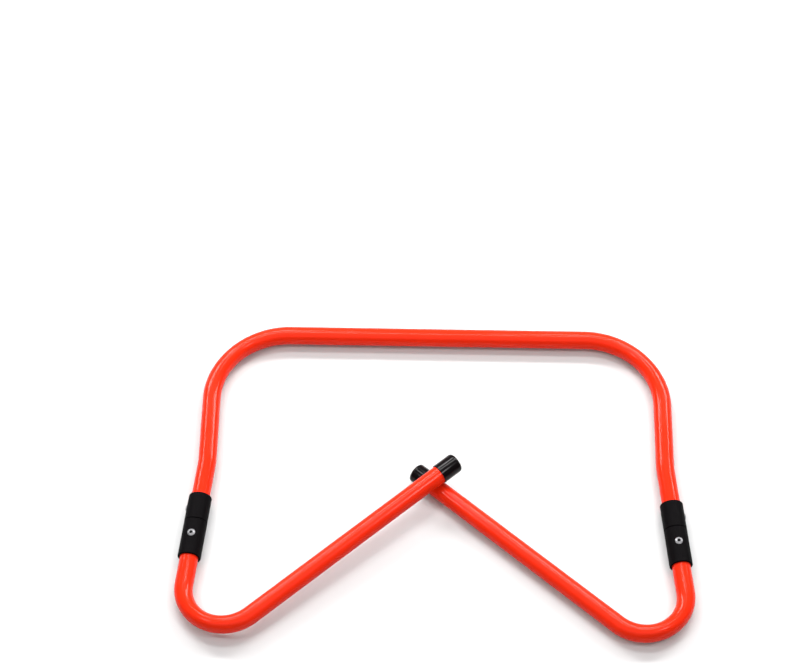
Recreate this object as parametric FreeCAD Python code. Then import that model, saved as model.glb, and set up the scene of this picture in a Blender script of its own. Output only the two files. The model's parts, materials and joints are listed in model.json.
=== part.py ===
import FreeCAD, Part
import math
import os
from FreeCAD import Placement, Rotation, Vector

# Speed hurdle, lying folded: a bent tube frame on two swivel joints that carry J-shaped leg tubes.
# Millimetres. +X runs along the crossbar, +Y from the feet to the crossbar and +Z up from the ground.
# The origin is on the ground, in the middle of the folded outline.

# Tube, the same stock for the frame and both legs
tube_od = 20.0
tube_wall = 2.0
bend_flat_share = 0.08  # of the tube's width, lost in the plane of a bend at its middle
bend_swell_share = 0.06  # of the tube's width, gained square to that plane
sections_per_quarter = 10  # of a bend's turn
least_sections = 3

# Crossbar frame
frame_width = 500.0  # between the centre lines of the uprights
crossbar_bend_radius = 85.0
kink_drop = 166.0  # from the crossbar's centre line down to the kink in each upright
kink_angle = 5.9  # degrees that an upright leans out below its kink
kink_radius = 60.0

# Legs
swivel_drop = 78.0  # from the kink to the seam of the swivel, along the upright
shank_length = 75.0  # from the seam to the start of the leg's bend
leg_bend_radius = 44.5
leg_angle = 44.0  # degrees between the leg and its shank
leg_length = 282.0  # from the end of the bend to the outside of the cap
lay_gap = 1.0  # between the folded legs, where the left one lies over the right one

# Swivel sockets
socket_wall = 2.4
tube_fit = 0.1  # all round, between a tube and its socket
upper_socket_length = 32.0
lower_socket_length = 43.0
upper_floor = 6.0
lower_floor = 5.0
upper_mouth_round_share = 0.58  # of the socket's wall, as the next three are
lower_mouth_round_share = 0.33
mouth_lead_share = 0.17
seam_round_share = 0.28
seam_gap = 0.4

# Swivel bolt, friction disc, washer and lock nut
bolt_diameter = 6.0
bolt_head_flats = 10.0
bolt_head_height = 4.0
bolt_head_pocket = 1.5
bolt_end = 1.5  # thread past the nut
bolt_fit = 0.1  # all round, in the upper floor, the disc, the washer and the head's pocket
swivel_fit = 0.05  # all round, where the lower socket turns on the bolt
swivel_play = 0.1  # end play of the lower socket at each face that it turns against
disc_od = 18.0
disc_recess = 1.2
washer_od = 12.0
washer_thickness = 1.0
nut_flats = 10.0
nut_hex_height = 5.0
nut_collar_diameter = 8.8
nut_collar_height = 1.5
thread_fit = 0.02  # all round, in the nut

# Blind rivets
rivet_diameter = 4.0
rivet_fit = 0.05  # all round, in the socket and the tube
rivet_head_diameter = 8.5
rivet_head_height = 1.5
rivet_seat_depth = 0.4  # flat spot under the head, below the socket's crest
rivet_bulb_diameter = 5.6
rivet_bulb_length = 3.0
rivet_stem_diameter = 2.3
rivet_stem_fit = 0.02
rivet_stem_recess = 0.7  # from the top of the head down to the broken end of the stem
rivet_stem_head_diameter = 3.6
rivet_stem_head_length = 1.4
upper_rivet_rise = 16.0  # from the seam
lower_rivet_drop = 18.5  # from the seam

# End caps
cap_wall = 0.95
cap_fit = 0.05
cap_length = 24.5
cap_end = 3.0
cap_edge_round = 3.6

cut_overrun = 1.0  # how far a cutting tool passes the face that it cuts

# Sizes that follow
tube_radius = tube_od / 2
tube_bore_radius = tube_radius - tube_wall
socket_bore_radius = tube_radius + tube_fit
socket_radius = socket_bore_radius + socket_wall
mouth_lead = socket_wall * mouth_lead_share
seam_round = socket_wall * seam_round_share
cap_bore_radius = tube_radius + cap_fit
cap_radius = cap_bore_radius + cap_wall
half_seam = seam_gap / 2
upper_seat = half_seam + upper_floor
lower_seat = half_seam + lower_floor
bolt_radius = bolt_diameter / 2
rivet_radius = rivet_diameter / 2
rivet_seat_radius = socket_radius - rivet_seat_depth
splay = math.radians(kink_angle)

UP = Vector(0, 0, 1)
OUTWARD = Vector(0, 1, 0)
SKYWARD = Vector(1, 0, 0)
MIRROR_NORMAL = Vector(1, 0, 0)
CENTRE = Vector(0, 0, 0)


# Tubes bent in one plane

def heading_vector(angle):
    """Unit vector in the plane of the tubes, at an angle in radians from +X."""
    return Vector(math.cos(angle), math.sin(angle), 0)


def bend_section(centre, outward, ease, inset):
    """Oval section of a bent rod: flattened in the plane of the bend and swollen square to it."""
    across = tube_radius * (1 - bend_flat_share * ease) - inset
    upright = tube_radius * (1 + bend_swell_share * ease) - inset
    oval = Part.Ellipse(centre, upright, across)
    oval.Axis = UP.cross(outward)
    oval.XAxis = UP
    return Part.Wire([oval.toShape()])


def rod_along(start, heading, path, inset):
    """Rod that follows straight runs and bends; an inset makes it thinner all round.

    A run is ("run", length). A bend is ("bend", radius, turn, oval), where a positive turn is to the left.
    """
    point = Vector(start)
    angle = heading
    pieces = []
    for step in path:
        if step[0] == "run":
            direction = heading_vector(angle)
            pieces.append(Part.makeCylinder(tube_radius - inset, step[1], point, direction))
            point = point + direction * step[1]
            continue
        radius, turn, oval = step[1:]
        side = math.copysign(1, turn)
        centre = point + heading_vector(angle + side * math.pi / 2) * radius
        count = math.ceil(max(least_sections, sections_per_quarter * abs(turn) / (math.pi / 2)))
        sections = []
        for index in range(count + 1):
            share = index / count
            outward = heading_vector(angle + turn * share - side * math.pi / 2)
            ease = oval * math.sin(math.pi * share) ** 2
            sections.append(bend_section(centre + outward * radius, outward, ease, inset))
        pieces.append(Part.makeLoft(sections, True, False))
        angle = angle + turn
        point = centre + heading_vector(angle - side * math.pi / 2) * radius
    return pieces[0].multiFuse(pieces[1:]), point, angle


def tube_along(start, heading, path):
    """Hollow tube along a path, with its end point and end heading."""
    outside, point, angle = rod_along(start, heading, path, 0)
    inside = rod_along(start, heading, path, tube_wall)[0]
    return outside.cut(inside), point, angle


# Where the right-hand swivel stands, with the crossbar's centre line along X and the tubes' plane at Z = 0

kink = Vector(frame_width / 2, -kink_drop, 0)
down_heading = splay - math.pi / 2
axis_down = heading_vector(down_heading)
axis_up = axis_down * -1
seam = kink + axis_down * swivel_drop
outward_side = heading_vector(splay)
swivel_place = Placement(seam, Rotation(UP, outward_side, axis_up, "ZXY"))


def at_swivel(shape):
    """Put a shape made about the swivel's own axis onto the right-hand swivel."""
    moved = shape.copy()
    moved.Placement = swivel_place.multiply(moved.Placement)
    return moved


# Pieces about the swivel axis: Z runs up the upright from the seam, Y points outwards and X to the sky

def round_rims(shape, rim_radius, height, size):
    """Round the circular edges of one radius at one height."""
    rims = []
    for edge in shape.Edges:
        curve = edge.Curve
        if not isinstance(curve, Part.Circle):
            continue
        same_radius = math.isclose(curve.Radius, rim_radius)
        same_height = math.isclose(curve.Center.z, height, abs_tol=Part.Precision.confusion())
        if same_radius and same_height:
            rims.append(edge)
    return shape.makeFillet(size, rims)


def disc(radius, low, high):
    """Plain cylinder about the swivel axis between two heights."""
    return Part.makeCylinder(radius, high - low, UP * low, UP)


def hexagon(flats, low, high):
    """Hexagonal prism about the swivel axis between two heights."""
    sides = 6
    corner = flats / 2 / math.cos(math.pi / sides)
    points = []
    for index in range(sides + 1):
        turn = 2 * math.pi * index / sides
        points.append(Vector(corner * math.cos(turn), corner * math.sin(turn), low))
    return Part.Face(Part.makePolygon(points)).extrude(UP * (high - low))


def turned(points):
    """Solid of revolution about Z from an outline of radius and height pairs."""
    corners = [Vector(radius, 0, height) for radius, height in points]
    outline = Part.makePolygon(corners + corners[:1])
    return Part.Face(outline).revolve(CENTRE, UP, 360)


def rivet_tool(radius, inner, outer, height, direction):
    """Cylinder square to the swivel axis, from one radius to another."""
    return Part.makeCylinder(radius, outer - inner, UP * height + direction * inner, direction)


def rivet_hole(height, direction):
    """Drilled hole for a rivet, through one side of the socket and the tube."""
    return rivet_tool(rivet_radius + rivet_fit, 0, socket_radius + cut_overrun, height, direction)


def rivet_spot(height, direction):
    """Flat spot that a rivet's head seats on."""
    spot_radius = rivet_head_diameter / 2 + rivet_fit
    return rivet_tool(spot_radius, rivet_seat_radius, socket_radius + cut_overrun, height, direction)


def upper_socket():
    """Socket on the upright: a floor with the bolt's pocket above and the disc's recess below."""
    top = half_seam + upper_socket_length
    hole_radius = bolt_radius + bolt_fit
    recess_radius = disc_od / 2 + bolt_fit
    recess_top = half_seam + disc_recess
    body = turned([
        (hole_radius, recess_top),
        (recess_radius, recess_top),
        (recess_radius, half_seam),
        (socket_radius, half_seam),
        (socket_radius, top),
        (socket_bore_radius + mouth_lead, top),
        (socket_bore_radius, top - mouth_lead),
        (socket_bore_radius, upper_seat),
        (hole_radius, upper_seat),
    ])
    body = round_rims(body, socket_radius, half_seam, seam_round)
    body = round_rims(body, socket_radius, top, socket_wall * upper_mouth_round_share)
    pocket_flats = bolt_head_flats + 2 * bolt_fit
    body = body.cut(hexagon(pocket_flats, upper_seat - bolt_head_pocket, upper_seat + cut_overrun))
    body = body.cut(rivet_hole(upper_rivet_rise, OUTWARD))
    return body.cut(rivet_spot(upper_rivet_rise, OUTWARD))


def lower_socket():
    """Socket on the leg: its floor turns on the bolt, between the friction disc and the washer."""
    bottom = -half_seam - lower_socket_length
    hole_radius = bolt_radius + swivel_fit
    body = turned([
        (hole_radius, -half_seam),
        (socket_radius, -half_seam),
        (socket_radius, bottom),
        (socket_bore_radius + mouth_lead, bottom),
        (socket_bore_radius, bottom + mouth_lead),
        (socket_bore_radius, -lower_seat),
        (hole_radius, -lower_seat),
    ])
    body = round_rims(body, socket_radius, -half_seam, seam_round)
    body = round_rims(body, socket_radius, bottom, socket_wall * lower_mouth_round_share)
    body = body.cut(rivet_hole(-lower_rivet_drop, SKYWARD))
    return body.cut(rivet_spot(-lower_rivet_drop, SKYWARD))


washer_top = -lower_seat - swivel_play
nut_top = washer_top - washer_thickness
nut_hex_end = nut_top - nut_hex_height
nut_end = nut_hex_end - nut_collar_height


def swivel_bolt():
    """Hexagon bolt with its head down in the upper socket's pocket."""
    head_floor = upper_seat - bolt_head_pocket
    head = hexagon(bolt_head_flats, head_floor, head_floor + bolt_head_height)
    shank = disc(bolt_radius, nut_end - bolt_end, head_floor)
    return head.fuse(shank).removeSplitter()


def friction_disc():
    """Flat ring in the upper socket's recess that the lower socket turns against."""
    top = half_seam + disc_recess
    bottom = swivel_play - half_seam
    return disc(disc_od / 2, bottom, top).cut(disc(bolt_radius + bolt_fit, bottom, top))


def nut_washer():
    """Flat washer between the lower socket's floor and the nut."""
    ring = disc(washer_od / 2, nut_top, washer_top)
    return ring.cut(disc(bolt_radius + bolt_fit, nut_top, washer_top))


def lock_nut():
    """Hexagon nut with the round collar of its locking ring."""
    collar = disc(nut_collar_diameter / 2, nut_end, nut_hex_end)
    body = hexagon(nut_flats, nut_hex_end, nut_top).fuse(collar).removeSplitter()
    return body.cut(disc(bolt_radius + thread_fit, nut_end, nut_top))


# Rivets stand on Z, with the swivel axis at zero height

rivet_top = rivet_seat_radius + rivet_head_height
bulb_radius = rivet_bulb_diameter / 2
bulb_top = math.sqrt(tube_bore_radius ** 2 - bulb_radius ** 2) - rivet_fit
bulb_bottom = bulb_top - rivet_bulb_length


def rivet_body():
    """Blind rivet: domed head, shank through both walls and the bulb that holds it inside the tube."""
    head_radius = rivet_head_diameter / 2
    bore_radius = rivet_stem_diameter / 2 + rivet_stem_fit
    dome_radius = (head_radius ** 2 + rivet_head_height ** 2) / (2 * rivet_head_height)
    dome = Part.makeSphere(dome_radius, UP * (rivet_top - dome_radius))
    head = dome.common(disc(head_radius, rivet_seat_radius, rivet_top))
    shank = disc(rivet_radius, bulb_top, rivet_seat_radius)
    bulb = turned([
        (0, bulb_bottom),
        (rivet_radius, bulb_bottom),
        (bulb_radius, bulb_top - rivet_bulb_length / 2),
        (bulb_radius, bulb_top),
        (0, bulb_top),
    ])
    body = head.multiFuse([shank, bulb]).removeSplitter()
    return body.cut(disc(bore_radius, bulb_bottom, rivet_top))


def rivet_stem():
    """Broken stem inside a blind rivet, with the head that was pulled into the bulb."""
    stem = disc(rivet_stem_diameter / 2, bulb_bottom, rivet_top - rivet_stem_recess)
    head = disc(rivet_stem_head_diameter / 2, bulb_bottom - rivet_stem_head_length, bulb_bottom)
    return stem.fuse(head).removeSplitter()


def in_wall(shape, height, direction):
    """Turn a rivet's piece from Z to a direction square to the swivel axis, at a height on it."""
    moved = shape.copy()
    moved.Placement = Placement(UP * height, Rotation(UP, direction))
    return moved


# Frame tube and right-hand leg tube

kink_tangent = kink_radius * math.tan(splay / 2)
frame_start = seam + axis_up * upper_seat
lower_upright = ("run", swivel_drop - upper_seat - kink_tangent)
upper_upright = ("run", kink_drop - kink_tangent - crossbar_bend_radius)
kink_bend = ("bend", kink_radius, -splay, 0)
crossbar_bend = ("bend", crossbar_bend_radius, math.pi / 2, 1)
crossbar = ("run", frame_width - 2 * crossbar_bend_radius)
right_side = [lower_upright, kink_bend, upper_upright, crossbar_bend]
frame_path = right_side + [crossbar] + right_side[::-1]
frame_tube = tube_along(frame_start, down_heading + math.pi, frame_path)[0]

leg_turn = math.pi - math.radians(leg_angle)
leg_start = seam + axis_down * lower_seat
leg_path = [
    ("run", shank_length - lower_seat),
    ("bend", leg_bend_radius, -leg_turn, 1),
    ("run", leg_length - cap_end),
]
leg_tube, tube_tip, leg_heading = tube_along(leg_start, down_heading, leg_path)
leg_direction = heading_vector(leg_heading)
cap_tip = tube_tip + leg_direction * cap_end


def end_cap():
    """Push-on cap with a rounded end, over the free end of the leg."""
    body = disc(cap_radius, 0, cap_length)
    body = round_rims(body, cap_radius, cap_length, cap_edge_round)
    return body.cut(disc(cap_bore_radius, -cut_overrun, cap_length - cap_end))


cap_place = Placement(cap_tip - leg_direction * cap_length, Rotation(UP, leg_direction))
right_cap = end_cap()
right_cap.Placement = cap_place

upper_hole = at_swivel(rivet_hole(upper_rivet_rise, OUTWARD))
lower_hole = at_swivel(rivet_hole(-lower_rivet_drop, SKYWARD))
frame_tube = frame_tube.cut(upper_hole)
frame_tube = frame_tube.cut(upper_hole.mirror(CENTRE, MIRROR_NORMAL))
leg_tube = leg_tube.cut(lower_hole)

# Pieces of one side, as they stand on the right: those that stay with the frame, and those of the leg

frame_side = {
    "upper_socket": at_swivel(upper_socket()),
    "upper_rivet": at_swivel(in_wall(rivet_body(), upper_rivet_rise, OUTWARD)),
    "upper_rivet_stem": at_swivel(in_wall(rivet_stem(), upper_rivet_rise, OUTWARD)),
    "swivel_bolt": at_swivel(swivel_bolt()),
    "friction_disc": at_swivel(friction_disc()),
    "nut_washer": at_swivel(nut_washer()),
    "lock_nut": at_swivel(lock_nut()),
}
leg_side = {
    "lower_socket": at_swivel(lower_socket()),
    "lower_rivet": at_swivel(in_wall(rivet_body(), -lower_rivet_drop, SKYWARD)),
    "lower_rivet_stem": at_swivel(in_wall(rivet_stem(), -lower_rivet_drop, SKYWARD)),
    "leg_tube": leg_tube,
    "end_cap": right_cap,
}

# The left leg is swung up from the plane of the frame until it clears the right one where they cross

crossing = cap_tip - leg_direction * (cap_tip.x / leg_direction.x)
left_seam = Vector(-seam.x, seam.y, 0)
left_axis_up = Vector(-axis_up.x, axis_up.y, 0)
crossing_reach = crossing.distanceToLine(left_seam, left_axis_up)
left_lift = math.degrees(math.asin((tube_od + lay_gap) / crossing_reach))

nodes = {"frame_tube": frame_tube}
for name, shape in frame_side.items():
    nodes["right_" + name] = shape
    nodes["left_" + name] = shape.mirror(CENTRE, MIRROR_NORMAL)
for name, shape in leg_side.items():
    nodes["right_" + name] = shape
    left = shape.mirror(CENTRE, MIRROR_NORMAL)
    left.rotate(left_seam, left_axis_up, -left_lift)
    nodes["left_" + name] = left

# The ground touches the undersides of the sockets, and the origin is in the middle of the outline

back_edge = tube_radius
front_edge = nodes["right_leg_tube"].optimalBoundingBox().YMin
to_origin = Vector(0, -(back_edge + front_edge) / 2, socket_radius)

os.makedirs("parts", exist_ok=True)
for name, shape in nodes.items():
    shape.translate(to_origin)
    shape.exportStep("parts/" + name + ".step")

swivel_right = seam + to_origin
swivel_left = left_seam + to_origin
print("right swivel at", swivel_right, "along", axis_up)
print("left swivel at", swivel_left, "along", left_axis_up, "lift", left_lift)
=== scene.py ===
import json
import logging
import math
from dataclasses import dataclass, field, replace
from enum import Enum

import bpy
from mathutils import Matrix, Vector


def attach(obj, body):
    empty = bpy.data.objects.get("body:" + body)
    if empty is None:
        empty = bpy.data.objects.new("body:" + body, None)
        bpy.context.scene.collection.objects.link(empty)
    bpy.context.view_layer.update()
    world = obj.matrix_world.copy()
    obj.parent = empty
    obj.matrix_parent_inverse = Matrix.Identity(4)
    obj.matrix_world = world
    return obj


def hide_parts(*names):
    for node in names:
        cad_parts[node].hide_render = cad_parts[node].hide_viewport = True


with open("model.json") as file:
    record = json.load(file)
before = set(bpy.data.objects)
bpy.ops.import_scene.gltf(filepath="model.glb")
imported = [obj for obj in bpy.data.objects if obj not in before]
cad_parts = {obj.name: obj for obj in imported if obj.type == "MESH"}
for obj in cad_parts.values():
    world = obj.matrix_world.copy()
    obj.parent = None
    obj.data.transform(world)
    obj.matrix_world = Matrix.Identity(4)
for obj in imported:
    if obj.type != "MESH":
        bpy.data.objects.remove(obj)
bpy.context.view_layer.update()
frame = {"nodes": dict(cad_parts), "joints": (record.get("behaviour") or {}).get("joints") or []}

# Folding speed hurdle: bent plastic tubes, black swivel sockets, blind rivets and push-on end caps.
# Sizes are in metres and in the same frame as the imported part.

log = logging.getLogger("speed_hurdle")

UP = Vector((0.0, 0.0, 1.0))
QUARTER_TURN = math.pi / 2
NUMBER = "FLOAT"
VECTOR = "FLOAT_VECTOR"

# Short names of types

Tree = bpy.types.NodeTree
Node = bpy.types.Node
Socket = bpy.types.NodeSocket
Material = bpy.types.Material
Piece = bpy.types.Object
Triple = tuple[float, float, float]
Span = tuple[float, float]
Profile = list[tuple[float, float]]


class Side(Enum):
    """Which half of the hurdle a piece belongs to; the value is the sign of its X."""

    LEFT = -1
    RIGHT = 1

    @property
    def label(self) -> str:
        """Name of the side as the nodes and bodies spell it."""
        return self.name.lower()

    @property
    def leg(self) -> str:
        """Body that carries this side's leg."""
        return self.label + "_leg"


class Slot(Enum):
    """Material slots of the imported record."""

    TUBE = "tube"
    SOCKET = "socket"
    CAP = "end_cap"
    RIVET = "rivet"
    STEEL = "steel"
    DISC = "friction_disc"


class Mark(Enum):
    """Attributes that the points of the meshes carry: the name of each and what it holds."""

    CENTRE = ("path_centre", VECTOR)
    TANGENT = ("path_tangent", VECTOR)
    EASE = ("bend_ease", NUMBER)
    RUN = ("run", NUMBER)
    UNROLLED = ("tube_coord", VECTOR)
    RADIUS = ("turn_radius", NUMBER)
    AXIS = ("seat_axis", VECTOR)

    @property
    def label(self) -> str:
        """Name of the attribute."""
        return self.value[0]

    @property
    def kind(self) -> str:
        """What the attribute holds."""
        return self.value[1]


# Node helpers

# Places of the colour sockets on a Mix node
MIX_FIRST, MIX_SECOND = 6, 7
MIX_RESULT = 2


def add_node(tree: Tree, kind: str, values: dict | None = None, **settings) -> Node:
    """Add one node, set its properties and fill its inputs.

    Args:
        tree: The tree that gets the node.
        kind: Blender's identifier of the node.
        values: Inputs by name or index. A socket is linked, anything else is set on the input.
        settings: Properties of the node itself.

    Returns:
        The new node.
    """
    made = tree.nodes.new(kind)
    for name, value in settings.items():
        setattr(made, name, value)
    for key, value in (values or {}).items():
        socket = made.inputs[key]
        if isinstance(value, Socket):
            tree.links.new(value, socket)
        else:
            socket.default_value = value
    return made


def maths(tree: Tree, operation: str, *terms) -> Socket:
    """Result of a Math node on sockets or numbers."""
    return add_node(tree, "ShaderNodeMath", dict(enumerate(terms)), operation=operation).outputs[0]


def vectors(tree: Tree, operation: str, *terms) -> Node:
    """Vector Math node on sockets or triples."""
    return add_node(tree, "ShaderNodeVectorMath", dict(enumerate(terms)), operation=operation)


def combine(tree: Tree, *parts) -> Socket:
    """Vector made of three sockets or numbers."""
    return add_node(tree, "ShaderNodeCombineXYZ", dict(enumerate(parts))).outputs[0]


def ramp(tree: Tree, value: Socket, span: Span, result: Span = (0.0, 1.0), **settings) -> Socket:
    """Value whose span is spread over another span."""
    ends = {"From Min": span[0], "From Max": span[1], "To Min": result[0], "To Max": result[1]}
    return add_node(tree, "ShaderNodeMapRange", {"Value": value, **ends}, **settings).outputs["Result"]


def mix_colours(tree: Tree, share: Socket, first: Triple, second: Triple | Socket) -> Socket:
    """Colour between two others.

    Args:
        tree: Tree of the material.
        share: Share of the second colour.
        first: Colour where the share is 0.
        second: Colour where the share is 1.

    Returns:
        The mixed colour.
    """
    last = second if isinstance(second, Socket) else (*second, 1.0)
    values = {"Factor": share, MIX_FIRST: (*first, 1.0), MIX_SECOND: last}
    return add_node(tree, "ShaderNodeMix", values, data_type="RGBA").outputs[MIX_RESULT]


# Finishes

# Near black painted into the rivets' holes as shade
HOLLOW_PAINTED_SHADE = (0.012, 0.012, 0.013)
PATCH_DETAIL = 3.0
PATCH_SPAN = (0.3, 0.7)
GRAIN_DETAIL = 4.0
GRAIN_ROUGHNESS = 0.6


@dataclass(frozen=True)
class Finish:
    """A procedural surface: colour, gloss and the fine relief that breaks the gloss up.

    Attributes:
        name: Name of the material.
        colour: Linear colour of most of the surface.
        drift: Linear colour that the surface drifts to in soft patches.
        roughness: Lowest and highest roughness.
        patch_scale: Patches to a metre.
        grain_scale: Grains to a metre.
        grain_depth: Height of the grain in metres.
        metallic: 1 for metal.
        specular: Strength of the plain gloss, 0.5 for common plastics.
        follows: Attribute that the pattern follows, or nothing for Object coordinates.
        stretch: Scale of the pattern along each of its axes.
        hollow: Radii between which a turned piece goes from painted shade, inside, to clear, or nothing.
    """

    name: str
    colour: Triple
    drift: Triple
    roughness: Span
    patch_scale: float
    grain_scale: float
    grain_depth: float
    metallic: float = 0.0
    specular: float = 0.5
    follows: Mark | None = None
    stretch: Triple = (1.0, 1.0, 1.0)
    hollow: Span | None = None

    def place(self, tree: Tree) -> Socket:
        """Coordinates that the patches and the grain read.

        Args:
            tree: Tree of the material.

        Returns:
            The coordinates.
        """
        if self.follows:
            return add_node(tree, "ShaderNodeAttribute", attribute_name=self.follows.label).outputs["Vector"]
        return add_node(tree, "ShaderNodeTexCoord").outputs["Object"]

    def shaded(self, tree: Tree, colour: Socket) -> Socket:
        """Paint shade into the colour in the hollow of a turned piece.

        Args:
            tree: Tree of the material.
            colour: Colour of the open surface.

        Returns:
            The colour of the whole surface.
        """
        if not self.hollow:
            return colour
        # Painted shade: the colour fades to near black inside the given radii
        radius = add_node(tree, "ShaderNodeAttribute", attribute_name=Mark.RADIUS.label).outputs["Fac"]
        return mix_colours(tree, ramp(tree, radius, self.hollow), HOLLOW_PAINTED_SHADE, colour)

    def material(self) -> Material:
        """Build the node material.

        Returns:
            The finished material.
        """
        made = bpy.data.materials.new(self.name)
        made.use_nodes = True
        tree = made.node_tree
        tree.nodes.clear()
        place = self.place(tree)
        patches = add_node(tree, "ShaderNodeTexNoise", {
            "Vector": place, "Scale": self.patch_scale, "Detail": PATCH_DETAIL,
        }).outputs["Fac"]
        laid = add_node(tree, "ShaderNodeMapping", {"Vector": place, "Scale": self.stretch})
        grain = add_node(tree, "ShaderNodeTexNoise", {
            "Vector": laid.outputs["Vector"], "Scale": self.grain_scale, "Detail": GRAIN_DETAIL,
            "Roughness": GRAIN_ROUGHNESS,
        }).outputs["Fac"]
        relief = add_node(tree, "ShaderNodeBump", {
            "Height": grain, "Strength": 1.0, "Distance": self.grain_depth,
        }).outputs["Normal"]
        colour = mix_colours(tree, patches, self.colour, self.drift)
        gloss = ramp(tree, patches, PATCH_SPAN, self.roughness)
        shader = add_node(tree, "ShaderNodeBsdfPrincipled", {
            "Base Color": self.shaded(tree, colour), "Roughness": gloss, "Normal": relief,
            "Metallic": self.metallic, "Specular IOR Level": self.specular,
        })
        add_node(tree, "ShaderNodeOutputMaterial", {"Surface": shader.outputs["BSDF"]})
        return made


TUBE_FINISH = Finish(
    name="orange_tube_plastic", colour=(0.7, 0.0192, 0.0036), drift=(0.73, 0.0228, 0.0047),
    roughness=(0.12, 0.16), patch_scale=45.0, grain_scale=700.0, grain_depth=0.000002, specular=0.11,
    follows=Mark.UNROLLED, stretch=(1.0, 1.0, 0.02),
)
SOCKET_FINISH = Finish(
    name="black_moulded_plastic", colour=(0.0018, 0.0013, 0.0017), drift=(0.0026, 0.002, 0.0025),
    roughness=(0.44, 0.56), patch_scale=160.0, grain_scale=2600.0, grain_depth=0.00003, specular=0.026,
)
CAP_FINISH = Finish(
    name="black_cap_plastic", colour=(0.0024, 0.0013, 0.0017), drift=(0.0034, 0.002, 0.0025),
    roughness=(0.1, 0.14), patch_scale=140.0, grain_scale=1500.0, grain_depth=0.000004, specular=0.13,
)
RIVET_FINISH = Finish(
    name="bright_rivet_aluminium", colour=(0.25, 0.246, 0.255), drift=(0.19, 0.187, 0.195),
    roughness=(0.4, 0.52), patch_scale=900.0, grain_scale=5200.0, grain_depth=0.00003, metallic=1.0,
)
STEEL_FINISH = Finish(
    name="zinc_plated_steel", colour=(0.5, 0.505, 0.52), drift=(0.4, 0.405, 0.41),
    roughness=(0.3, 0.48), patch_scale=500.0, grain_scale=4200.0, grain_depth=0.00003, metallic=1.0,
)
# Steel stems painted near black: painted shade in the rivets' holes, darker than the steel itself
STEM_PAINTED_SHADE_FINISH = Finish(
    name="torn_stem_steel", colour=(0.005, 0.005, 0.0055), drift=(0.014, 0.014, 0.015),
    roughness=(0.5, 0.65), patch_scale=1400.0, grain_scale=6000.0, grain_depth=0.00005, metallic=1.0,
)
DISC_FINISH = Finish(
    name="natural_nylon", colour=(0.74, 0.71, 0.63), drift=(0.8, 0.77, 0.7),
    roughness=(0.42, 0.55), patch_scale=220.0, grain_scale=2400.0, grain_depth=0.00003,
)


# Stock and swivels

@dataclass(frozen=True)
class Stock:
    """Tube that the frame and both legs are bent from.

    Attributes:
        diameter: Outside diameter.
        wall: Thickness of the wall.
        flattening_share: Share of its width that the tube loses at the middle of a full bend.
        swell_share: Share of its height that it gains there.
        wave_depth: Depth of the faint waves in the surface.
        wave_length: Length of those waves along the tube.
        sides: Facets round the tube.
        rim_angle: Angle past which the rim of a tube end stays sharp.
    """

    diameter: float = 0.020
    wall: float = 0.002
    flattening_share: float = 0.08
    swell_share: float = 0.06
    wave_depth: float = 0.00002
    wave_length: float = 0.05
    sides: int = 64
    rim_angle: float = math.radians(50.0)


@dataclass(frozen=True)
class Swivel:
    """One swivel joint: where its seam is and which way its parts point.

    Attributes:
        side: Side of the hurdle.
        seam: Point on the axis at the seam between the two sockets.
        axis: Unit vector up the upright.
        lift: Angle in radians by which the folded leg is swung up.
    """

    side: Side
    seam: Vector
    axis: Vector
    lift: float = 0.0

    @classmethod
    def from_joint(cls, side: Side, joint: dict) -> "Swivel":
        """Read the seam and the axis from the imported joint.

        Args:
            side: Side of the hurdle.
            joint: The joint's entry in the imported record.

        Returns:
            The swivel of that side, with its leg flat.
        """
        axis = Vector(joint["axis"]).normalized()
        return cls(side, Vector(joint["pos_m"]), axis if axis.y > 0 else -axis)

    @property
    def outward(self) -> Vector:
        """Unit vector away from the middle of the hurdle, square to the axis."""
        return self.axis.cross(UP).normalized() * self.side.value

    def leg_turn(self) -> Matrix:
        """Turn about the axis that lays a flat leg into its folded place."""
        there = Matrix.Translation(self.seam)
        return there @ Matrix.Rotation(self.side.value * self.lift, 4, self.axis) @ there.inverted()


# Geometry node trees

WAVE_DETAIL = 1.0
NOISE_MIDDLE = 0.5
HALF_SHEET = 0.5


def group_inputs(tree: Tree, sockets: dict[str, str]) -> Node:
    """Give a geometry tree its geometry sockets and its named inputs.

    Args:
        tree: The new tree.
        sockets: Socket type by input name.

    Returns:
        The Group Input node.
    """
    tree.interface.new_socket("Geometry", in_out="OUTPUT", socket_type="NodeSocketGeometry")
    tree.interface.new_socket("Geometry", in_out="INPUT", socket_type="NodeSocketGeometry")
    for name, kind in sockets.items():
        tree.interface.new_socket(name, in_out="INPUT", socket_type=kind)
    return tree.nodes.new("NodeGroupInput")


def stored(tree: Tree, mark: Mark) -> Socket:
    """Attribute of the geometry."""
    values = {"Name": mark.label}
    return add_node(tree, "GeometryNodeInputNamedAttribute", values, data_type=mark.kind).outputs[0]


def store(tree: Tree, geometry: Socket, mark: Mark, value: Socket) -> Socket:
    """Store an attribute on every point of the geometry.

    Args:
        tree: The geometry tree.
        geometry: Geometry that gets the attribute.
        mark: The attribute.
        value: Its value at each point.

    Returns:
        The geometry with the attribute.
    """
    values = {"Geometry": geometry, "Name": mark.label, "Value": value}
    settings = {"data_type": mark.kind, "domain": "POINT"}
    return add_node(tree, "GeometryNodeStoreNamedAttribute", values, **settings).outputs["Geometry"]


def move_points(tree: Tree, geometry: Socket, position: Socket) -> Socket:
    """Geometry with its points moved to new places."""
    values = {"Geometry": geometry, "Position": position}
    return add_node(tree, "GeometryNodeSetPosition", values).outputs["Geometry"]


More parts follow.
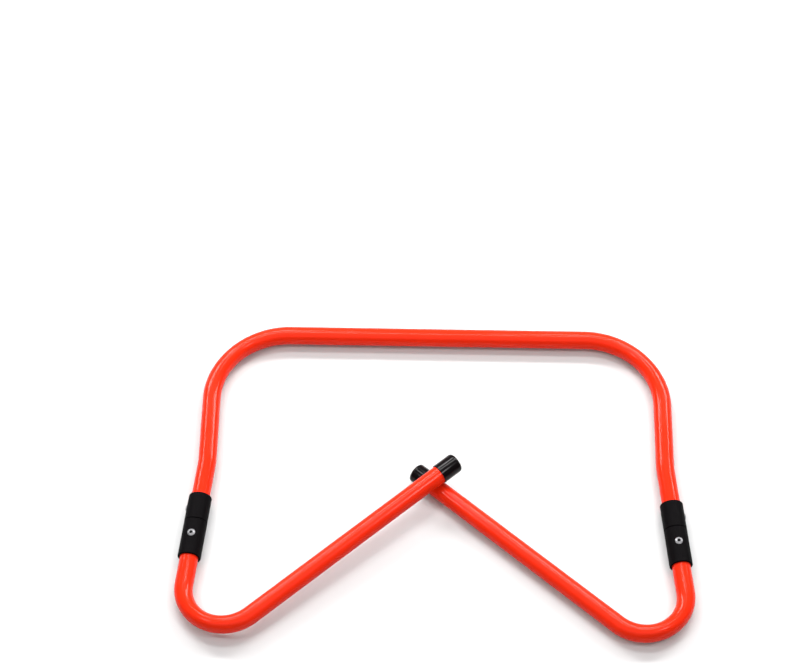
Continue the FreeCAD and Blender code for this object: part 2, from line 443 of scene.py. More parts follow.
def finish_tree(tree: Tree, geometry: Socket, material: Socket) -> None:
    """End a tree in smooth shading, real geometry and one material.

    Args:
        tree: The geometry tree.
        geometry: What the tree has made.
        material: The material input.
    """
    smooth = add_node(tree, "GeometryNodeSetShadeSmooth", {"Geometry": geometry}).outputs["Geometry"]
    real = add_node(tree, "GeometryNodeRealizeInstances", {"Geometry": smooth}).outputs["Geometry"]
    dressed = add_node(tree, "GeometryNodeSetMaterial", {"Geometry": real, "Material": material})
    add_node(tree, "NodeGroupOutput", {"Geometry": dressed.outputs["Geometry"]})


def tube_tree() -> Tree:
    """Sweep a tube along a flat path, ovalise its bends and keep coordinates of the straight tube.

    Returns:
        The geometry tree. Its path has the point attributes bend_ease and run.
    """
    tree = bpy.data.node_groups.new("bent_tube", "GeometryNodeTree")
    given = group_inputs(tree, {
        "Outside Diameter": "NodeSocketFloat", "Sides": "NodeSocketInt", "Bend Flattening": "NodeSocketFloat",
        "Bend Swell": "NodeSocketFloat", "Wave Depth": "NodeSocketFloat", "Wave Length": "NodeSocketFloat",
        "Wave Seed": "NodeSocketFloat", "Finish": "NodeSocketMaterial",
    }).outputs
    diameter = given["Outside Diameter"]
    radius = maths(tree, "DIVIDE", diameter, 2.0)
    position = tree.nodes.new("GeometryNodeInputPosition").outputs[0]
    tangent = tree.nodes.new("GeometryNodeInputTangent").outputs[0]
    path = add_node(tree, "GeometryNodeMeshToCurve", {"Mesh": given["Geometry"]}).outputs["Curve"]
    path = add_node(tree, "GeometryNodeSetCurveNormal", {"Curve": path}, mode="Z_UP").outputs["Curve"]
    path = store(tree, path, Mark.CENTRE, position)
    path = store(tree, path, Mark.TANGENT, tangent)
    values = {"Resolution": given["Sides"], "Radius": radius}
    ring = add_node(tree, "GeometryNodeCurvePrimitiveCircle", values).outputs["Curve"]
    values = {"Curve": path, "Profile Curve": ring}
    skin = add_node(tree, "GeometryNodeCurveToMesh", values).outputs["Mesh"]

    centre = stored(tree, Mark.CENTRE)
    run = stored(tree, Mark.RUN)
    spoke = vectors(tree, "SUBTRACT", position, centre).outputs[0]
    sideways = vectors(tree, "CROSS_PRODUCT", tuple(UP), stored(tree, Mark.TANGENT)).outputs[0]
    level = vectors(tree, "DOT_PRODUCT", spoke, sideways).outputs["Value"]
    height = vectors(tree, "DOT_PRODUCT", spoke, tuple(UP)).outputs["Value"]
    skin = store(tree, skin, Mark.UNROLLED, combine(tree, level, height, run))

    across = maths(tree, "DIVIDE", level, diameter)
    upwards = maths(tree, "DIVIDE", height, diameter)
    along = maths(tree, "DIVIDE", run, given["Wave Length"])
    noise = add_node(tree, "ShaderNodeTexNoise", {
        "Vector": combine(tree, across, upwards, along), "W": given["Wave Seed"], "Scale": 1.0,
        "Detail": WAVE_DETAIL,
    }, noise_dimensions="4D").outputs[0]
    wave = maths(tree, "MULTIPLY", maths(tree, "SUBTRACT", noise, NOISE_MIDDLE), given["Wave Depth"])
    growth = maths(tree, "ADD", 1.0, maths(tree, "DIVIDE", wave, radius))
    ease = stored(tree, Mark.EASE)
    flat = maths(tree, "SUBTRACT", 1.0, maths(tree, "MULTIPLY", given["Bend Flattening"], ease))
    tall = maths(tree, "ADD", 1.0, maths(tree, "MULTIPLY", given["Bend Swell"], ease))
    width = maths(tree, "MULTIPLY", flat, growth)
    scale = combine(tree, width, width, maths(tree, "MULTIPLY", tall, growth))
    skin = move_points(tree, skin, vectors(tree, "MULTIPLY_ADD", spoke, scale, centre).outputs[0])
    for mark in (Mark.CENTRE, Mark.TANGENT):
        values = {"Geometry": skin, "Name": mark.label}
        skin = add_node(tree, "GeometryNodeRemoveAttribute", values).outputs["Geometry"]
    finish_tree(tree, skin, given["Finish"])
    return tree


def turned_tree() -> Tree:
    """Turn a profile about Z and set the result on every seat, along the seat's axis.

    Returns:
        The geometry tree. Its geometry is the profile, with radius in X and height in Z.
    """
    tree = bpy.data.node_groups.new("turned_piece", "GeometryNodeTree")
    given = group_inputs(tree, {
        "Seats": "NodeSocketObject", "Segments": "NodeSocketInt", "Seam Merge": "NodeSocketFloat",
        "Finish": "NodeSocketMaterial",
    }).outputs
    outline = given["Geometry"]
    count = add_node(tree, "GeometryNodeAttributeDomainSize", {"Geometry": outline}).outputs["Point Count"]
    columns = maths(tree, "ADD", given["Segments"], 1.0)
    sheet = add_node(tree, "GeometryNodeMeshGrid", {
        "Size X": 1.0, "Size Y": 1.0, "Vertices X": columns, "Vertices Y": count,
    }).outputs["Mesh"]
    position = tree.nodes.new("GeometryNodeInputPosition").outputs[0]
    place = add_node(tree, "ShaderNodeSeparateXYZ", {0: position}).outputs
    angle = maths(tree, "MULTIPLY", maths(tree, "ADD", place[0], HALF_SHEET), math.tau)
    last = maths(tree, "SUBTRACT", count, 1.0)
    row = maths(tree, "MULTIPLY", maths(tree, "ADD", place[1], HALF_SHEET), last)
    sample = add_node(tree, "GeometryNodeSampleIndex", {
        "Geometry": outline, "Value": position, "Index": maths(tree, "ROUND", row),
    }, data_type=VECTOR, domain="POINT").outputs[0]
    point = add_node(tree, "ShaderNodeSeparateXYZ", {0: sample}).outputs
    east = maths(tree, "MULTIPLY", point[0], maths(tree, "COSINE", angle))
    north = maths(tree, "MULTIPLY", point[0], maths(tree, "SINE", angle))
    sheet = store(tree, sheet, Mark.RADIUS, point[0])
    body = move_points(tree, sheet, combine(tree, east, north, point[2]))
    values = {"Geometry": body, "Distance": given["Seam Merge"]}
    body = add_node(tree, "GeometryNodeMergeByDistance", values).outputs["Geometry"]

    seats = add_node(tree, "GeometryNodeObjectInfo", {"Object": given["Seats"]}).outputs["Geometry"]
    values = {"Vector": stored(tree, Mark.AXIS)}
    stand = add_node(tree, "FunctionNodeAlignRotationToVector", values, axis="Z").outputs["Rotation"]
    values = {"Points": seats, "Instance": body, "Rotation": stand}
    placed = add_node(tree, "GeometryNodeInstanceOnPoints", values).outputs["Instances"]
    finish_tree(tree, placed, given["Finish"])
    return tree


TUBE_TREE = tube_tree()
TURNED_TREE = turned_tree()


# Meshes

def new_object(name: str, data: bpy.types.ID) -> Piece:
    """Put a new object into the scene.

    Args:
        name: Name of the object.
        data: What the object shows.

    Returns:
        The new object.
    """
    made = bpy.data.objects.new(name, data)
    bpy.context.scene.collection.objects.link(made)
    return made


def line_mesh(name: str, points: list[Vector]) -> Piece:
    """Make a chain of edges through points, as an object in the scene.

    Args:
        name: Name of the object.
        points: The points in order.

    Returns:
        The new object.
    """
    mesh = bpy.data.meshes.new(name)
    mesh.from_pydata([tuple(p) for p in points], [(i, i + 1) for i in range(len(points) - 1)], [])
    return new_object(name, mesh)


def set_mark(mesh: bpy.types.Mesh, mark: Mark, values: list[float]) -> None:
    """Store an attribute on the points of a mesh."""
    key = "vector" if mark.kind == VECTOR else "value"
    mesh.attributes.new(mark.label, mark.kind, "POINT").data.foreach_set(key, values)


def add_tree(piece: Piece, tree: Tree, values: dict) -> None:
    """Put a geometry tree on an object and set its named inputs.

    Args:
        piece: The object whose geometry the tree takes.
        tree: The geometry tree.
        values: Input values by input name.
    """
    modifier = piece.modifiers.new(tree.name, "NODES")
    modifier.node_group = tree
    for item in tree.interface.items_tree:
        if item.in_out == "INPUT" and item.name in values:
            modifier[item.identifier] = values[item.name]


def settle(piece: Piece, place: Matrix, sharp: float) -> Piece:
    """Turn an object with modifiers into a plain mesh in its final place.

    Args:
        piece: The object.
        place: Where its mesh goes.
        sharp: Angle in radians past which an edge stays sharp.

    Returns:
        The same object, with no modifier left.
    """
    graph = bpy.context.evaluated_depsgraph_get()
    mesh = bpy.data.meshes.new_from_object(
        piece.evaluated_get(graph), preserve_all_data_layers=True, depsgraph=graph
    )
    piece.modifiers.clear()
    piece.data = mesh
    mesh.name = piece.name
    mesh.transform(place)
    mesh.shade_smooth()
    mesh.set_sharp_from_angle(angle=sharp)
    return piece


def hand_over(piece: Piece, body: str, slot: Slot, *nodes: str) -> None:
    """Let a finished piece ride on its body in place of CAD nodes.

    Args:
        piece: The finished piece.
        body: The CAD body.
        slot: Material slot of the record, not used.
        nodes: CAD nodes that the piece stands for.
    """
    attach(piece, body)
    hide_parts(*nodes)
    log.info("%s on %s, %d faces", piece.name, body, len(piece.data.polygons))


# Tubes

def flat_way(angle: float) -> Vector:
    """Level unit vector at an angle from X."""
    return Vector((math.cos(angle), math.sin(angle), 0.0))


def on_ground(point: Vector) -> Vector:
    """Point of the ground straight below another one."""
    return Vector((point.x, point.y, 0.0))


@dataclass
class TubePath:
    """Flat centre line of straight runs and bends, with the measures that the sweep reads.

    Attributes:
        points: Points of the line so far.
        heading: Angle from X at which the line goes on.
        ease: Share of the full flattening at each point.
        run: Length of the line up to each point.
        step: Longest step along a straight run.
        bend_step: Largest angle of a step round a bend.
        bend_steps_least: Fewest steps round a bend.
    """

    points: list[Vector]
    heading: float
    ease: list[float] = field(default_factory=lambda: [0.0])
    run: list[float] = field(default_factory=lambda: [0.0])
    step: float = 0.006
    bend_step: float = math.radians(3.0)
    bend_steps_least: int = 4

    @property
    def ahead(self) -> Vector:
        """Unit vector along which the line goes on."""
        return flat_way(self.heading)

    def note(self, point: Vector, ease: float, length: float) -> None:
        """Add one point.

        Args:
            point: The point.
            ease: Share of the full flattening there.
            length: Length of the line from the point before.
        """
        self.points.append(point)
        self.ease.append(ease)
        self.run.append(self.run[-1] + length)

    def straight(self, length: float) -> "TubePath":
        """Go straight on.

        Args:
            length: How far.

        Returns:
            The path itself.
        """
        count = math.ceil(length / self.step)
        start = self.points[-1]
        for index in range(1, count + 1):
            self.note(start + self.ahead * (length * index / count), 0.0, length / count)
        return self

    def bend(self, radius: float, turn: float, oval: float = 0.0) -> "TubePath":
        """Follow an arc.

        Args:
            radius: Radius of the centre line.
            turn: Angle in radians, to the left when positive.
            oval: Share of the full flattening at the middle of the bend.

        Returns:
            The path itself.
        """
        count = max(self.bend_steps_least, math.ceil(abs(turn) / self.bend_step))
        hand = math.copysign(QUARTER_TURN, turn)
        centre = self.points[-1] + flat_way(self.heading + hand) * radius
        for index in range(1, count + 1):
            share = index / count
            point = centre + flat_way(self.heading + turn * share - hand) * radius
            self.note(point, oval * math.sin(math.pi * share) ** 2, radius * abs(turn) / count)
        self.heading += turn
        return self

    def sweep(
        self, name: str, stock: Stock, seed: float, finish: Material, place: Matrix
    ) -> Piece:
        """Make the hollow tube along the path.

        Args:
            name: Name of the piece.
            stock: Tube sizes.
            seed: Seed of the waves.
            finish: Material of the tube.
            place: Where the flat tube goes.

        Returns:
            The finished tube.
        """
        piece = line_mesh(name, self.points)
        set_mark(piece.data, Mark.EASE, self.ease)
        set_mark(piece.data, Mark.RUN, self.run)
        add_tree(piece, TUBE_TREE, {
            "Outside Diameter": stock.diameter, "Sides": stock.sides,
            "Bend Flattening": stock.flattening_share, "Bend Swell": stock.swell_share,
            "Wave Depth": stock.wave_depth, "Wave Length": stock.wave_length, "Wave Seed": seed,
            "Finish": finish,
        })
        wall = piece.modifiers.new("wall", "SOLIDIFY")
        wall.thickness = stock.wall
        wall.offset = -1.0
        return settle(piece, place, stock.rim_angle)


@dataclass(frozen=True)
class FrameTube:
    """Crossbar, two large bends and two uprights with a slight kink, all in one tube.

    Attributes:
        width: Between the centre lines of the uprights, above their kinks.
        bend_radius: Radius of the large bends.
        kink_drop: From the crossbar down to the kinks.
        kink_radius: Radius of the kinks.
        swivel_drop: From a kink down to the seam of the swivel.
        seat: From the seam to the end of the tube in its socket.
        wave_seed: Seed of the waves.
    """

    width: float = 0.500
    bend_radius: float = 0.085
    kink_drop: float = 0.166
    kink_radius: float = 0.060
    swivel_drop: float = 0.078
    seat: float = 0.0062
    wave_seed: float = 3.0

    def build(self, stock: Stock, right: Swivel, finish: Material) -> None:
        """Sweep the frame from the right socket round to the left one.

        Args:
            stock: Tube sizes.
            right: The right-hand swivel.
            finish: Material of the tube.
        """
        splay = math.atan2(-right.axis.x, right.axis.y)
        start = on_ground(right.seam + right.axis * self.seat)
        tangent = self.kink_radius * math.tan(splay / 2)
        lower = self.swivel_drop - self.seat - tangent
        upper = self.kink_drop - tangent - self.bend_radius
        path = TubePath([start], QUARTER_TURN + splay)
        path.straight(lower).bend(self.kink_radius, -splay).straight(upper)
        path.bend(self.bend_radius, QUARTER_TURN, oval=1.0).straight(self.width - 2 * self.bend_radius)
        path.bend(self.bend_radius, QUARTER_TURN, oval=1.0).straight(upper)
        path.bend(self.kink_radius, -splay).straight(lower)
        place = Matrix.Translation(UP * right.seam.z)
        piece = path.sweep("bent_frame_tube", stock, self.wave_seed, finish, place)
        hand_over(piece, "frame", Slot.TUBE, "frame_tube")


@dataclass(frozen=True)
class Leg:
    """Leg tube bent back on itself, with the cap on its free end.

    Attributes:
        shank: From the seam of the swivel to the bend.
        seat: From the seam to the end of the tube in its socket.
        bend_radius: Radius of the bend.
        angle: Angle between the shank and the long run.
        length: Long run from the bend to the end of the cap.
        lay_gap: Between the folded legs where they cross.
        wave_seed: Seed of the waves.
        cap_end: Thickness of the cap's end.
        cap_length: Length of the cap.
        cap_radius: Outside radius of the cap.
        cap_bore: Radius of its bore.
        cap_round: Radius of the edge of its end.
        cap_round_steps: Steps round that edge.
        cap_segments: Facets round the cap.
        mouth_round: Bevel of the cap's mouth.
    """

    shank: float = 0.075
    seat: float = 0.0052
    bend_radius: float = 0.0445
    angle: float = math.radians(44.0)
    length: float = 0.282
    lay_gap: float = 0.001
    wave_seed: float = 11.0
    cap_end: float = 0.003
    cap_length: float = 0.0245
    cap_radius: float = 0.011
    cap_bore: float = 0.01005
    cap_round: float = 0.0036
    cap_round_steps: int = 8
    cap_segments: int = 72
    mouth_round: float = 0.00025

    def path(self, swivel: Swivel) -> TubePath:
        """Centre line of the flat leg, from its socket to its free end.

        Args:
            swivel: The swivel that carries the leg.

        Returns:
            The path of the tube.
        """
        start = on_ground(swivel.seam - swivel.axis * self.seat)
        path = TubePath([start], math.atan2(-swivel.axis.y, -swivel.axis.x))
        path.straight(self.shank - self.seat)
        path.bend(self.bend_radius, -swivel.side.value * (math.pi - self.angle), oval=1.0)
        return path.straight(self.length - self.cap_end)

    def lift(self, stock: Stock, swivel: Swivel) -> float:
        """Angle that lays this leg over the other one, which it crosses in the middle of the hurdle.

        Args:
            stock: Tube sizes.
            swivel: The swivel that carries the leg.

        Returns:
            The angle in radians.
        """
        path = self.path(swivel)
        tip = path.points[-1]
        crossing = tip - path.ahead * (tip.x / path.ahead.x)
        reach = (crossing - path.points[0]).cross(swivel.axis).length
        return math.asin((stock.diameter + self.lay_gap) / reach)

    def cap_profile(self) -> Profile:
        """Outline of the cap, from the middle of its floor to the middle of its end.

        Returns:
            The outline's points.
        """
        lip = self.mouth_round
        floor = self.cap_length - self.cap_end
        outline = [(0.0, floor), (self.cap_bore, floor), (self.cap_bore, lip), (self.cap_bore + lip, 0.0)]
        outline += [(self.cap_radius - lip, 0.0), (self.cap_radius, lip)]
        for index in range(self.cap_round_steps + 1):
            angle = QUARTER_TURN * index / self.cap_round_steps
            outline.append((
                self.cap_radius - self.cap_round * (1 - math.cos(angle)),
                self.cap_length - self.cap_round * (1 - math.sin(angle)),
            ))
        return outline + [(0.0, self.cap_length)]

    def build(self, stock: Stock, swivel: Swivel, tube: Material, cap: Material) -> None:
        """Sweep the leg tube and push the cap on.

        Args:
            stock: Tube sizes.
            swivel: The swivel that carries the leg.
            tube: Material of the tube.
            cap: Material of the cap.
        """
        side = swivel.side
        path = self.path(swivel)
        place = swivel.leg_turn() @ Matrix.Translation(UP * swivel.seam.z)
        seed = self.wave_seed + side.value
        piece = path.sweep(side.label + "_bent_leg_tube", stock, seed, tube, place)
        hand_over(piece, side.leg, Slot.TUBE, side.label + "_leg_tube")
        mouth = path.points[-1] + path.ahead * (self.cap_end - self.cap_length)
        seat = Seat(place @ mouth, place.to_3x3() @ path.ahead)
        piece = turn_on_seats(side.label + "_push_on_cap", self.cap_profile(), [seat], self.cap_segments, cap)
        hand_over(piece, side.leg, Slot.CAP, side.label + "_end_cap")


# Turned pieces

SEAM_MERGE = 0.000001
TURNED_EDGE_ANGLE = math.radians(38.0)


@dataclass(frozen=True)
class Seat:
    """Place of a turned piece: the zero of its height and the way it points."""

    point: Vector
    axis: Vector


def turn_on_seats(
    name: str, profile: Profile, seats: list[Seat], segments: int, finish: Material
) -> Piece:
    """Turn one profile and set it on every seat.

    Args:
        name: Name of the piece.
        profile: Radius and height of the outline's points.
        seats: Where the turned shape goes.
        segments: Facets round the axis.
        finish: Material of the piece.

    Returns:
        The finished piece.
    """
    piece = line_mesh(name, [Vector((radius, 0.0, height)) for radius, height in profile])
    marks = line_mesh(name + "_seats", [seat.point for seat in seats])
    set_mark(marks.data, Mark.AXIS, [number for seat in seats for number in seat.axis])
    add_tree(piece, TURNED_TREE, {
        "Seats": marks, "Segments": segments, "Seam Merge": SEAM_MERGE, "Finish": finish,
    })
    settle(piece, Matrix.Identity(4), TURNED_EDGE_ANGLE)
    bpy.data.objects.remove(marks)
    return piece


@dataclass(frozen=True)
class BlindRivet:
    """Blind rivet with its broken stem; heights count from the axis of the socket that it holds.

    Attributes:
        seat: Height of the head's underside.
        head_radius: Radius of the head.
        head_height: Height of the head without its hole.
        edge: Height of the head's edge below the dome.
        under_share: Radius of the head's underside, as a share of the head's.
        brim_share: The same at the top of the edge.
        crown_points: Steps over the dome.
        ring_radius: Radius of the shallow ring that the setting tool leaves.
        ring_depth: Depth of that ring.
        ring_width_share: Width of the ring, as a share of the head's radius.
        mouth: Radius of the hole at the dome.
        lip_share: Radius below the lip, as a share of the mouth.
        lip_depth_share: Depth of the lip, as a share of the edge.
        hole_share: The same at the bottom of the hole.
        hole_depth_share: Depth of the hole, as a share of the head's height.
        bore: Radius of the bore that holds the stem.
        shank: Radius of the shank.
        bulb: Radius of the bulb inside the tube.
        bulb_top: Height of the bulb's top.
        bulb_length: Length of the bulb.
        stem: Radius of the stem.
        stem_recess: From the crown down to the torn end.
        stem_head: Radius of the stem's head.
        stem_head_length: Length of the stem's head.
        torn_edge_share: Height of the torn edge, as a share of the head's height.
        torn_rim_share: Radius of its rim, as a share of the stem.
        torn_dip_share: The same for the dip in it.
        torn_dip_depth_share: Depth of that dip, as a share of the head's height.
        segments: Facets round the rivet.
        stem_segments: Facets round the stem.
    """

    seat: float = 0.0121
    head_radius: float = 0.00425
    head_height: float = 0.0015
    edge: float = 0.0003
    under_share: float = 0.985
    brim_share: float = 0.993
    crown_points: int = 14
    ring_radius: float = 0.0027
    ring_depth: float = 0.00006
    ring_width_share: float = 0.12
    mouth: float = 0.0019
    lip_share: float = 0.93
    lip_depth_share: float = 0.1
    hole_share: float = 0.9
    hole_depth_share: float = 0.85
    bore: float = 0.00117
    shank: float = 0.002
    bulb: float = 0.0028
    bulb_top: float = 0.00744
    bulb_length: float = 0.003
    stem: float = 0.00115
    stem_recess: float = 0.0013
    stem_head: float = 0.0018
    stem_head_length: float = 0.0014
    torn_edge_share: float = 0.12
    torn_rim_share: float = 0.82
    torn_dip_share: float = 0.5
    torn_dip_depth_share: float = 0.1
    segments: int = 48
    stem_segments: int = 32

    @property
    def top(self) -> float:
        """Height of the crown that the head's dome would have without its hole."""
        return self.seat + self.head_height

    @property
    def foot(self) -> float:
        """Height of the bulb's lower end."""
        return self.bulb_top - self.bulb_length

    @property
    def hollow(self) -> Span:
        """Radii between which the painted shade in the hole fades to clear."""
        return self.mouth * self.lip_share, self.mouth

    def dome(self, radius: float) -> float:
        """Height of the head's outside.

        Args:
            radius: Distance from the axis.

        Returns:
            The height there.
        """
        rise = self.head_height - self.edge
        ball = (self.head_radius ** 2 + rise ** 2) / (2 * rise)
        return self.top - ball + math.sqrt(ball ** 2 - radius ** 2)

    def body_profile(self) -> Profile:
        """Outline of the rivet from the foot of its bore, up its shank, over the head and back down the bore.

        Returns:
            The outline's points.
        """
        head = self.head_radius
        outline = [(self.bore, self.foot), (self.shank, self.foot)]
        outline += [(self.bulb, self.bulb_top - self.bulb_length / 2), (self.bulb, self.bulb_top)]
        outline += [(self.shank, self.bulb_top), (self.shank, self.seat)]
        outline += [(head * self.under_share, self.seat), (head, self.seat + self.edge / 2)]
        outline += [(head * self.brim_share, self.seat + self.edge)]
        for index in range(self.crown_points - 1, 0, -1):
            radius = self.mouth + (head - self.mouth) * index / self.crown_points
            away = (radius - self.ring_radius) / (self.ring_width_share * head)
            outline.append((radius, self.dome(radius) - self.ring_depth * math.exp(-away * away)))
        brink = self.dome(self.mouth)
        lip = brink - self.lip_depth_share * self.edge
        deep = brink - self.hole_depth_share * self.head_height
        outline += [(self.mouth, brink), (self.mouth * self.lip_share, lip)]
        return outline + [(self.mouth * self.hole_share, deep), (self.bore, deep), (self.bore, self.foot)]

    def stem_profile(self) -> Profile:
        """Outline of the stem, from the middle of its head to the middle of its torn end.

        Returns:
            The outline's points.
        """
        base = self.foot - self.stem_head_length
        end = self.top - self.stem_recess
        outline = [(0.0, base), (self.stem_head, base), (self.stem_head, self.foot), (self.stem, self.foot)]
        outline += [(self.stem, end - self.torn_edge_share * self.head_height)]
        outline += [(self.torn_rim_share * self.stem, end)]
        outline += [(self.torn_dip_share * self.stem, end - self.torn_dip_depth_share * self.head_height)]
        return outline + [(0.0, end)]

    def build(
        self, owner: str, body: str, seats: list[Seat], nodes: list[str], rivet: Material, steel: Material
    ) -> None:
        """Turn the rivets and the stems of one body.

        Args:
            owner: Start of the pieces' names.
            body: The CAD body.
            seats: Where the rivets are.
            nodes: CAD rivets that these stand for.
            rivet: Material of the rivets.
            steel: Material of the stems, painted near black as the shade in the rivets' holes.
        """
        piece = turn_on_seats(owner + "_blind_rivets", self.body_profile(), seats, self.segments, rivet)
        hand_over(piece, body, Slot.RIVET, *nodes)
        piece = turn_on_seats(owner + "_rivet_stems", self.stem_profile(), seats, self.stem_segments, steel)
        hand_over(piece, body, Slot.STEEL, *[node + "_stem" for node in nodes])


@dataclass(frozen=True)
class SwivelSockets:
    """The two sockets of a swivel with its hidden bolt, disc, washer and nut, and the rivets' seats.

    Attributes:
        upper_rivet_rise: From the seam up to the upper rivet.
        lower_rivet_drop: From the seam down to the lower rivet.
    """

    upper_rivet_rise: float = 0.016
    lower_rivet_drop: float = 0.0185

    def upper_seat(self, swivel: Swivel) -> Seat:
        """Seat of the rivet that faces outwards."""
        return Seat(swivel.seam + swivel.axis * self.upper_rivet_rise, swivel.outward)

    def lower_seat(self, swivel: Swivel) -> Seat:
        """Seat of the rivet that faces up while the leg is folded."""
        facing = swivel.leg_turn().to_3x3() @ UP
        return Seat(swivel.seam - swivel.axis * self.lower_rivet_drop, facing)

    def dress(self, side: Side, finishes: dict[Slot, Material]) -> None:
        """Give the CAD nodes of one swivel their materials.

        Args:
            side: Side of the hurdle.
            finishes: Material by slot.
        """
        slots = {
            "upper_socket": Slot.SOCKET, "lower_socket": Slot.SOCKET, "swivel_bolt": Slot.STEEL,
            "friction_disc": Slot.DISC, "nut_washer": Slot.STEEL, "lock_nut": Slot.STEEL,
        }
        for name, slot in slots.items():
            node = frame["nodes"][side.label + "_" + name]
            node.data.materials.clear()
            node.data.materials.append(finishes[slot])
            log.info("%s dressed in %s", node.name, finishes[slot].name)


# Studio

ALONG_X = (1.0, 0.0, 0.0)
ALONG_Y = (0.0, 1.0, 0.0)
WHITE = (1.0, 1.0, 1.0, 1.0)


@dataclass(frozen=True)
class Lamp:
    """Soft rectangular light that faces the middle of the hurdle.

    Attributes:
        name: Name of the light.
        bearing: Angle in degrees from straight behind the hurdle, to the right when positive.
        elevation: Angle in degrees above the ground.
        distance: From the middle of the hurdle.
        size: Length of its two sides; the first one lies along the long vector.
        long: Which way the first side points.
        power: Power in watts.
    """

    name: str
    bearing: float
    elevation: float
    distance: float
    size: Span
    long: Triple
    power: float

    def mirrored(self, name: str) -> "Lamp":
        """The same light on the other side of the hurdle."""
        return replace(self, name=name, bearing=-self.bearing, long=(-self.long[0], *self.long[1:]))

    def build(self) -> None:
        """Hang the light."""
        data = bpy.data.lights.new(self.name, "AREA")
        data.shape = "RECTANGLE"
        data.size, data.size_y = self.size
        data.energy = self.power
        bearing, elevation = math.radians(self.bearing), math.radians(self.elevation)
        level = math.cos(elevation)
        out = Vector((math.sin(bearing) * level, math.cos(bearing) * level, math.sin(elevation)))
        side = Vector(self.long)
        side = (side - out * side.dot(out)).normalized()
        turn = Matrix((side, out.cross(side), out)).transposed()
        lamp = new_object(self.name, data)
        lamp.matrix_world = Matrix.Translation(out * self.distance) @ turn.to_4x4()


FRONT_LIGHT = Lamp("front_soft_light", 180.0, 66.0, 6.0, (8.2, 5.8), ALONG_X, 135.0)
BACK_LIGHT = Lamp("back_strip_light", -2.0, 70.0, 2.2, (1.3, 0.3), ALONG_X, 19.0)
LEFT_BEND_LIGHT = Lamp("left_bend_light", -25.0, 44.0, 2.1, (0.95, 0.3), (0.93, 0.06, 0.35), 22.0)
LEFT_STRIP_LIGHT = Lamp("left_strip_light", -48.0, 31.0, 2.1, (0.7, 0.35), (0.9, 0.25, 0.36), 15.0)
LEFT_SIDE_LIGHT = Lamp("left_side_light", -104.0, 57.0, 2.0, (0.22, 0.22), ALONG_Y, 5.0)
RIGHT_SIDE_LIGHT = Lamp("right_side_light", 114.0, 60.0, 2.0, (0.22, 0.22), ALONG_Y, 5.0)


@dataclass(frozen=True)
class Room:
    """Pale surroundings that are brightest behind and above the hurdle.

    Attributes:
        dim: Strength of the light from the camera's side.
        bright: Strength of the light from behind.
        brightest: Direction of the brightest part.
        span: How far towards that direction the strength starts and ends its rise, as cosines.
    """

    dim: float = 0.18
    bright: float = 0.48
    brightest: Triple = (0.0, 0.8, 0.6)
    span: Span = (-0.3, 0.8)

    def build(self) -> None:
        """Make the world's light."""
        world = bpy.data.worlds.new("pale_room")
        world.use_nodes = True
        tree = world.node_tree
        way = add_node(tree, "ShaderNodeTexCoord").outputs["Generated"]
        back = vectors(tree, "DOT_PRODUCT", way, self.brightest).outputs["Value"]
        strength = ramp(tree, back, self.span, (self.dim, self.bright), interpolation_type="SMOOTHSTEP")
        background = tree.nodes["Background"]
        tree.links.new(strength, background.inputs["Strength"])
        background.inputs["Color"].default_value = WHITE
        bpy.context.scene.world = world


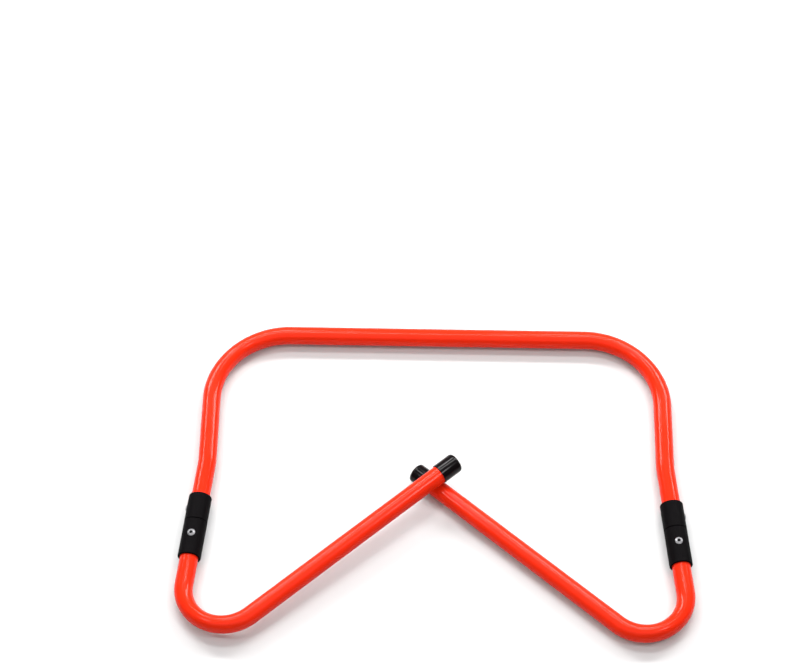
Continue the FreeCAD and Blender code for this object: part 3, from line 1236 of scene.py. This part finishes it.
@dataclass(frozen=True)
class Studio:
    """Camera, floor and light.

    Attributes:
        distance: From the camera to the point that it looks at.
        elevation: Angle of the camera above the ground.
        turn: Angle of the camera about the vertical.
        aim: Point on the plane of the tubes that the middle of the picture shows.
        lens: Focal length in millimetres.
        sensor: Width of the sensor in millimetres.
        sight: Distance past which the camera sees nothing.
        floor_half: Half the length of the floor's sides.
        floor_colour: Linear colour of the floor.
        floor_roughness: Roughness of the floor.
        floor_specular: Strength of its gloss.
        room: The surroundings.
        lamps: All lights.
    """

    distance: float = 2.893
    elevation: float = math.radians(56.434)
    turn: float = math.radians(1.11)
    aim: Triple = (-0.0482, 0.1885, 0.0125)
    lens: float = 116.73
    sensor: float = 36.0
    sight: float = 50.0
    floor_half: float = 6.0
    floor_colour: Triple = (0.6, 0.6, 0.6)
    floor_roughness: float = 0.9
    floor_specular: float = 0.1
    room: Room = Room()
    lamps: tuple[Lamp, ...] = (
        FRONT_LIGHT, BACK_LIGHT,
        LEFT_BEND_LIGHT, LEFT_BEND_LIGHT.mirrored("right_bend_light"),
        LEFT_STRIP_LIGHT, LEFT_STRIP_LIGHT.mirrored("right_strip_light"),
        LEFT_SIDE_LIGHT, RIGHT_SIDE_LIGHT,
    )

    def camera(self) -> None:
        """Set the camera to the photograph's view."""
        data = bpy.data.cameras.new("view")
        data.sensor_width = self.sensor
        data.lens = self.lens
        data.clip_end = self.sight
        view = new_object("view", data)
        level = math.cos(self.elevation)
        back = Vector((math.sin(self.turn) * level, -math.cos(self.turn) * level, math.sin(self.elevation)))
        view.location = Vector(self.aim) + back * self.distance
        view.rotation_euler = (QUARTER_TURN - self.elevation, 0.0, self.turn)
        bpy.context.scene.camera = view

    def floor(self) -> None:
        """Lay the plain pale floor."""
        reach = self.floor_half
        corners = [(-reach, -reach, 0.0), (reach, -reach, 0.0), (reach, reach, 0.0), (-reach, reach, 0.0)]
        mesh = bpy.data.meshes.new("floor")
        mesh.from_pydata(corners, [], [(0, 1, 2, 3)])
        floor = new_object("floor", mesh)
        pale = bpy.data.materials.new("pale_floor")
        pale.use_nodes = True
        shader = pale.node_tree.nodes["Principled BSDF"]
        shader.inputs["Base Color"].default_value = (*self.floor_colour, 1.0)
        shader.inputs["Roughness"].default_value = self.floor_roughness
        shader.inputs["Specular IOR Level"].default_value = self.floor_specular
        mesh.materials.append(pale)

    def build(self) -> None:
        """Set up the camera, the floor and the light."""
        self.camera()
        self.floor()
        self.room.build()
        for lamp in self.lamps:
            lamp.build()
        bpy.context.scene.view_settings.view_transform = "Standard"


def main() -> None:
    """Build the hurdle's pieces in order, then the studio."""
    logging.basicConfig(level=logging.INFO, format="%(name)s: %(message)s")
    stock = Stock()
    leg = Leg()
    sockets = SwivelSockets()
    rivet = BlindRivet()
    # The rivets' finish paints shade into their holes
    chosen = {
        Slot.TUBE: TUBE_FINISH, Slot.SOCKET: SOCKET_FINISH, Slot.CAP: CAP_FINISH,
        Slot.RIVET: replace(RIVET_FINISH, hollow=rivet.hollow), Slot.STEEL: STEEL_FINISH,
        Slot.DISC: DISC_FINISH,
    }
    finishes = {slot: finish.material() for slot, finish in chosen.items()}
    # Stems painted near black as the shade in the rivets' holes
    stem = STEM_PAINTED_SHADE_FINISH.material()
    joints = {joint["name"]: joint for joint in frame["joints"]}
    swivels = {side: Swivel.from_joint(side, joints[side.leg + "_swivel"]) for side in Side}
    left = swivels[Side.LEFT]
    swivels[Side.LEFT] = replace(left, lift=leg.lift(stock, left))
    FrameTube().build(stock, swivels[Side.RIGHT], finishes[Slot.TUBE])
    rivet.build(
        "upright", "frame", [sockets.upper_seat(swivels[side]) for side in Side],
        [side.label + "_upper_rivet" for side in Side], finishes[Slot.RIVET], stem,
    )
    for side in Side:
        leg.build(stock, swivels[side], finishes[Slot.TUBE], finishes[Slot.CAP])
        sockets.dress(side, finishes)
        rivet.build(
            side.leg, side.leg, [sockets.lower_seat(swivels[side])], [side.label + "_lower_rivet"],
            finishes[Slot.RIVET], stem,
        )
    Studio().build()


if __name__ == "__main__":
    main()
